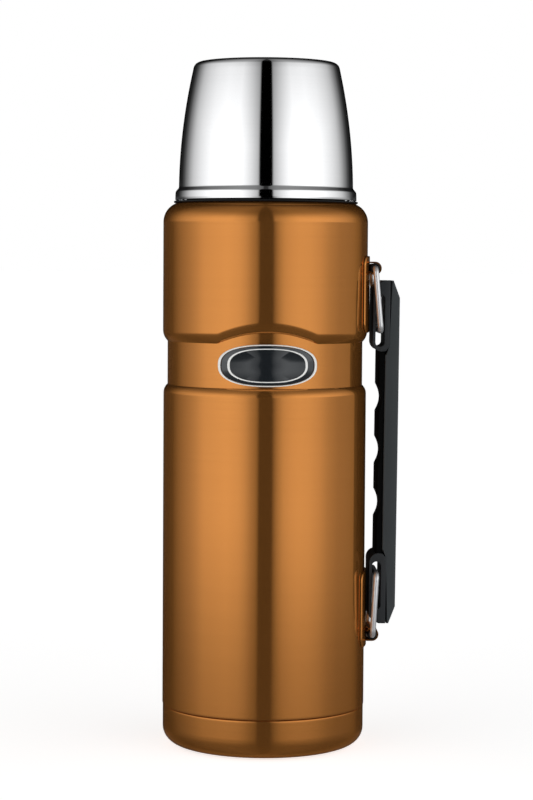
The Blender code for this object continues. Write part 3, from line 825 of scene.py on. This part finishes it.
def make_grip():
    """Black grip: slotted ears joined by a finger-hollowed bar that is a little narrower."""
    top = HANDLE_MIDDLE + HANDLE_HALF
    low = top - EAR_LENGTH
    half = finger_hollow(HANDLE_MIDDLE)[HOLLOW_STEPS // 2:]
    half += finger_hollow(HANDLE_MIDDLE + FINGER_PITCH)
    half += [(GRIP_INNER, low + 3.0), (GRIP_OUTER, low + 3.0)]
    bar = prism_data(leaned(mirrored(half)), EAR_HALF_WIDTH - 0.9, rounding=0.5)
    ear_round = 4.4
    solids = []
    for side, start in ((1.0, TOP_SLOT_START), (-1.0, BOTTOM_SLOT_START)):
        ear = arc(EAR_INNER + ear_round, low + ear_round, ear_round, 265.0, 180.0, 10)
        ear += [(EAR_INNER, top - 3.6), (EAR_INNER + 0.5, top - 2.8), (EAR_INNER + 3.9, top - 0.3)]
        ear += [(EAR_INNER + 4.7, top), (EAR_OUTER, top), (EAR_OUTER, low + 2.4)]
        ear += [(GRIP_OUTER + 0.4, low + 0.3), (GRIP_OUTER - 0.6, low)]
        ear = [(x, HANDLE_MIDDLE + side * (z - HANDLE_MIDDLE)) for x, z in ear]
        solids.append(("UNION", prism_data(leaned(ear), EAR_HALF_WIDTH, rounding=0.45)))
        solids.append(("DIFFERENCE", slot_data(side, start)))
    data = boolean_data(bar, solids)
    # The bar between the ears takes the darker matt black and the ears the satin black of the same
    # moulding: the bar's darker black is painted shade.
    for face in data.faces:
        along = abs(face.calc_center_median().z / MM - HANDLE_MIDDLE)
        face.material_index = 1 if along > HANDLE_HALF - EAR_LENGTH else 0
    finished("grip", data, [MATT_BLACK_PAINTED_SHADE, SATIN_BLACK], "handle", "handle_grip", 32.0)


def make_cover():
    """Dark grey spine along the grip's outer side, thinner over the ears, with cut-off corners."""
    top = HANDLE_MIDDLE + HANDLE_HALF
    low = top - EAR_LENGTH
    seat = GRIP_OUTER + 0.05
    half = [(seat, HANDLE_MIDDLE), (seat, low - 1.4), (EAR_OUTER + 0.35, low + 2.0)]
    half += [(EAR_OUTER + 0.35, top), (COVER_OUTER - 2.9, top)]
    half += [(COVER_OUTER, top - 7.8), (COVER_OUTER, HANDLE_MIDDLE)]
    data = prism_data(leaned(mirrored(half)), COVER_HALF_WIDTH, rounding=0.55, steps=4)
    finished("cover", data, [GREY], "handle", "handle_cover", 28.0)


# ---------------------------------------------------------------- stopper and cup

def make_knob():
    """Fluted stopper knob with a dished top."""
    low, high = box_mm("stopper_knob")
    top = high[2]
    flange = high[0]
    side = flange - 2.1
    plug = flange - 7.4
    flutes = 12
    flutes_end = top - 12.4
    corners = [(0.0, top - 1.6, 0.0), (19.0, top - 1.6, 1.2), (20.6, top, 0.8), (side - 1.8, top, 1.0)]
    corners += [(side, top - 2.2, 1.2)]
    corners += [(side, top - drop, 0.0) for drop in (3.4, 4.6, 6.5, 9.0, 11.0, 12.0)]
    corners += [(side, top - 12.8, 0.8), (flange, top - 13.4, 0.8), (flange, top - 16.4, 0.5)]
    corners += [(plug, top - 16.4, 0.2), (plug, low[2], 0.0), (0.0, low[2], 0.0)]

    def shape(radius, height, angle):
        if radius < side - 3.4 or radius > side + 0.2 or height < flutes_end:
            return radius, height
        flute = max(0.0, math.cos(flutes * angle)) ** 1.5
        fade = smooth_share(height, flutes_end, flutes_end + 1.8)
        return radius - 1.15 * flute * fade, height

    data = lathe(rounded(corners, 5), 2 * ROUND, closed=False, shape=shape)
    finished("knob", data, [BLACK], "stopper", "stopper_knob", 40.0)


def cup_radius(height):
    """Outer radius of the cup's side, which rounds in towards its top."""
    return CUP_SIDE_RADIUS - 0.0020 * (height - (CUP_FOOT + 1.9)) ** 2


def make_cup():
    """Polished cup: softly domed top, rounded-in side and a flared foot."""
    side_top = CUP_TOP - 5.6
    side_foot = CUP_FOOT + 5.6
    heights = [side_top - (side_top - side_foot) * step / 14 for step in range(15)]
    corners = [(0.0, CUP_TOP, 0.0), (15.0, CUP_TOP - 0.2, 0.0), (25.0, CUP_TOP - 0.55, 0.0)]
    corners += [(cup_radius(CUP_TOP) + 0.3, CUP_TOP - 1.0, 3.2)]
    corners += [(cup_radius(height), height, 0.0) for height in heights]
    corners += [(cup_radius(CUP_FOOT + 5.3), CUP_FOOT + 5.3, 0.0), (CUP_SIDE_RADIUS, CUP_FOOT + 4.7, 1.2)]
    flare = CUP_FLARE_RADIUS
    corners += [(flare - 0.2, CUP_FOOT + 3.0, 1.2), (flare - 0.05, CUP_FOOT + 1.6, 0.0)]
    corners += [(flare, CUP_FOOT - 0.8, 0.3), (flare - 0.4, CUP_FOOT - 0.9, 0.0)]
    data = lathe(sheet(rounded(corners, 8), CUP_WALL), 2 * ROUND)
    finished("cup", data, [MIRROR_STEEL], "cup", "cup_shell", 28.0)


def make_cup_lining():
    """Black lining that follows the cup's side and carries its thread."""
    low, high = box_mm("cup_liner")
    top = high[2]
    skirt = high[0]
    space = CUP_WALL + 1.3
    corners = [(0.0, top, 0.0), (30.6, top, 3.5), (cup_radius(top - 4.6) - space, top - 4.6, 2.0)]
    heights = [top - 9.6 - 6.7 * step for step in range(6)]
    corners += [(cup_radius(height) - space, height, 0.0) for height in heights]
    corners += [(skirt, low[2] + 11.3, 1.0), (skirt, low[2], 0.0)]
    finished("cup_lining", lathe(sheet(rounded(corners, 6), 1.0)), [BLACK], "cup", "cup_liner")
    ridge = helix_ridge(skirt - 1.1, 0.85, low[2] + 3.3, CUP_LEAD, 1.0)
    finished("lining_thread", ridge, [BLACK], "cup")


def make_rim_ring():
    """Black ring under the cup's foot."""
    low, high = box_mm("cup_rim_ring")
    top = high[2] - 1.0
    inside = high[0] - 3.4
    outside = high[0] - 0.1
    corners = [(inside, top, 0.0), (outside, top, 0.3), (outside, low[2] - 1.0, 0.4)]
    corners += [(inside, low[2] - 0.2, 0.2), (inside, top - 0.3, 0.0)]
    finished("rim_ring", lathe(rounded(corners, 4)), [BLACK], "cup_lift", "cup_rim_ring")


make_casing()
make_base_cap()
make_inner_flask()
make_badge()
make_bracket("upper_clip", "top_bracket", UPPER_RADIUS, TOP_PIVOT, 1.0)
make_bracket("lower_clip", "bottom_bracket", LOWER_RADIUS, BOTTOM_PIVOT, -1.0)
make_bail("top_wire", "top_bail", "top_bail", TOP_PIVOT, 1.0)
make_bail("bottom_wire", "bottom_bail", "bottom_bail", BOTTOM_PIVOT, -1.0)
make_sleeve("top_sleeve", TOP_PIVOT)
make_sleeve("bottom_sleeve", BOTTOM_PIVOT)
make_grip()
make_cover()
make_knob()
make_cup()
make_cup_lining()
make_rim_ring()

# The CAD solids that stay as they are, with their materials.
CAD_FINISHES = {
    "casing_bottom": SATIN_STEEL, "inner_bottom": SATIN_STEEL, "getter_clip": SATIN_STEEL,
    "evacuation_seal": SINTERED, "getter": SINTERED, "heat_shield": FOIL, "stopper_foam": FOAM,
    "stopper_base": BLACK, "stopper_plug": BLACK, "stopper_gasket": SILICONE,
}
for node, finish in CAD_FINISHES.items():
    solid = frame["nodes"][node]
    solid.data.materials.clear()
    solid.data.materials.append(finish)


# ---------------------------------------------------------------- floor, light and camera

# The light tent, as (degrees, brightness) pairs. The first three tables go round the object from
# the camera's side, 0, to the far side, 180. The upper part is the same on both sides and takes over
# just above the level. UPPER_SHARE, UPWARDS, OVERHEAD and BELOW are in degrees above the level.
LEFT_SIDE = (
    (0, 0.0), (6, 0.0), (7.5, 0.25), (10, 0.41), (14.5, 0.58), (21, 0.89), (29, 1.14), (43, 1.25),
    (58, 1.17), (72, 1.07), (83, 0.80), (92, 0.62), (103, 0.455), (114, 0.30), (128, 0.07),
    (140, 0.04), (180, 0.06),
)
RIGHT_SIDE = (
    (0, 0.0), (8.2, 0.0), (10.2, 0.22), (14.6, 0.55), (21.4, 0.90), (30, 1.07), (39, 1.15),
    (51, 1.11), (64, 0.92), (77, 0.64), (92, 0.46), (106, 0.41), (118, 0.36), (129, 0.24),
    (140, 0.04), (180, 0.06),
)
UPPER_PART = (
    (0, 0.0), (8, 0.0), (9.6, 0.42), (11.5, 0.56), (19.5, 0.83), (27, 1.05), (38, 1.32), (60, 1.32),
    (80, 1.13), (99, 0.85), (112, 0.62), (126, 0.27), (137, 0.08), (146, 0.02), (168, 0.0), (180, 0.04),
)
UPPER_SHARE = ((-90, 0.0), (1.4, 0.0), (2.6, 1.0), (90, 1.0))
UPWARDS = (
    (-90, 0.05), (-30, 0.08), (-19, 0.14), (-14, 0.24), (-12, 0.34), (-11, 0.46), (-10, 0.52),
    (-9.2, 0.61), (-8.3, 0.77), (-7.3, 0.92), (-5.8, 1.0), (12, 1.0), (20, 0.84), (26, 0.72),
    (31, 0.58), (42, 0.36), (55, 0.25), (70, 0.20), (90, 0.10),
)
OVERHEAD = ((0, 0.0), (46, 0.0), (90, 0.03))
BEHIND = ((111.6, 0.0), (144, 0.10))    # the pale floor's far part, round the object
BELOW = ((-90, 1.0), (-16.3, 1.0), (-10.4, 0.0))


def make_floor():
    """A pale floor that glows a little, so that it reads as white up to the horizon."""
    mesh = bpy.data.meshes.new("studio_floor")
    reach = 60.0
    corners = [(-reach, -reach, 0.0), (reach, -reach, 0.0), (reach, reach, 0.0), (-reach, reach, 0.0)]
    mesh.from_pydata(corners, [], [(0, 1, 2, 3)])
    material = bpy.data.materials.new("studio_floor")
    material.use_nodes = True
    shader = material.node_tree.nodes["Principled BSDF"]
    shader.inputs["Base Color"].default_value = rgb(0.90, 0.90, 0.90)
    shader.inputs["Roughness"].default_value = 1.0
    shader.inputs["Specular IOR Level"].default_value = 0.0
    shader.inputs["Emission Color"].default_value = rgb(1.0, 1.0, 1.0)
    shader.inputs["Emission Strength"].default_value = 0.75
    mesh.materials.append(material)
    floor = bpy.data.objects.new("studio_floor", mesh)
    bpy.context.scene.collection.objects.link(floor)
    floor.visible_glossy = False


def ramp(nodes, value, stops):
    """Brightness, up to 2, by a value from 0 to 1, from (value, brightness) stops."""
    node = nodes.add("ShaderNodeValToRGB", Fac=value)
    elements = node.color_ramp.elements
    while len(elements) > 1:
        elements.remove(elements[-1])
    for index, (position, brightness) in enumerate(stops):
        element = elements[0] if index == 0 else elements.new(position)
        element.position = position
        element.color = rgb(brightness / 2.0, brightness / 2.0, brightness / 2.0)
    grey = nodes.add("ShaderNodeRGBToBW", Color=node.outputs["Color"])
    return nodes.math("MULTIPLY", grey.outputs["Val"], 2.0)


def round_ramp(nodes, azimuth, table):
    """Brightness from a table in degrees round the object."""
    return ramp(nodes, azimuth, [(degrees / 180.0, level) for degrees, level in table])


def height_ramp(nodes, rise, table):
    """Brightness from a table in degrees above the level."""
    stops = [(0.5 + 0.5 * math.sin(math.radians(degrees)), level) for degrees, level in table]
    return ramp(nodes, rise, stops)


def mixed(nodes, first, second, share):
    """first where share is 0, second where it is 1."""
    rest = nodes.math("MULTIPLY", first, nodes.math("SUBTRACT", 1.0, share))
    return nodes.math("ADD", rest, nodes.math("MULTIPLY", second, share))


def make_world():
    """A light tent that only the object sees: bright sides, a dark gap in front and a dark back.
    Rays straight from the camera see plain white."""
    world = bpy.data.worlds.new("light_tent")
    bpy.context.scene.world = world
    world.use_nodes = True
    nodes = Nodes(world.node_tree)
    background = world.node_tree.nodes["Background"]
    direction = nodes.add("ShaderNodeTexCoord").outputs["Generated"]
    axes = nodes.add("ShaderNodeSeparateXYZ", Vector=direction)
    backwards = nodes.math("MULTIPLY", axes.outputs["Y"], -1.0)
    turned = nodes.math("ARCTAN2", axes.outputs["X"], backwards)
    turned = nodes.math("ADD", turned, math.radians(CAMERA_TURN))
    azimuth = nodes.math("DIVIDE", nodes.math("ABSOLUTE", turned), math.pi)
    rise = nodes.math("ADD", nodes.math("MULTIPLY", axes.outputs["Z"], 0.5), 0.5)

    left = round_ramp(nodes, azimuth, LEFT_SIDE)
    right = round_ramp(nodes, azimuth, RIGHT_SIDE)
    upper = round_ramp(nodes, azimuth, UPPER_PART)
    lower = mixed(nodes, left, right, nodes.math("GREATER_THAN", turned, 0.0))
    around = mixed(nodes, lower, upper, height_ramp(nodes, rise, UPPER_SHARE))
    tent = nodes.math("MULTIPLY", around, height_ramp(nodes, rise, UPWARDS))
    tent = nodes.math("ADD", tent, height_ramp(nodes, rise, OVERHEAD))
    behind = round_ramp(nodes, azimuth, BEHIND)
    tent = nodes.math("ADD", tent, nodes.math("MULTIPLY", behind, height_ramp(nodes, rise, BELOW)))

    straight = nodes.add("ShaderNodeLightPath").outputs["Is Camera Ray"]
    nodes.feed(background.inputs["Color"], rgb(1.0, 1.0, 1.0))
    nodes.feed(background.inputs["Strength"], mixed(nodes, tent, 1.0, straight))


def make_camera():
    """A long lens almost straight in front of the badge, pitched down and rolled a little."""
    data = bpy.data.cameras.new("studio_camera")
    data.sensor_fit = "HORIZONTAL"
    data.sensor_width = 36.0
    data.lens = CAMERA_LENS
    data.clip_end = 300.0
    camera = bpy.data.objects.new("studio_camera", data)
    bpy.context.scene.collection.objects.link(camera)
    turn = math.radians(CAMERA_TURN)
    place = Vector((-CAMERA_DISTANCE * math.sin(turn), -CAMERA_DISTANCE * math.cos(turn), CAMERA_HEIGHT))
    aim = Vector((CAMERA_AIM * math.cos(turn), -CAMERA_AIM * math.sin(turn), CAMERA_HEIGHT))
    ahead = (aim - place).normalized() - Vector((0.0, 0.0, math.tan(math.radians(CAMERA_PITCH))))
    camera.location = place
    camera.rotation_mode = "QUATERNION"
    roll = Quaternion((0.0, 0.0, 1.0), math.radians(CAMERA_ROLL))
    camera.rotation_quaternion = ahead.to_track_quat("-Z", "Y") @ roll
    bpy.context.scene.camera = camera


make_floor()
make_world()
make_camera()
bpy.context.scene.view_settings.view_transform = "Standard"
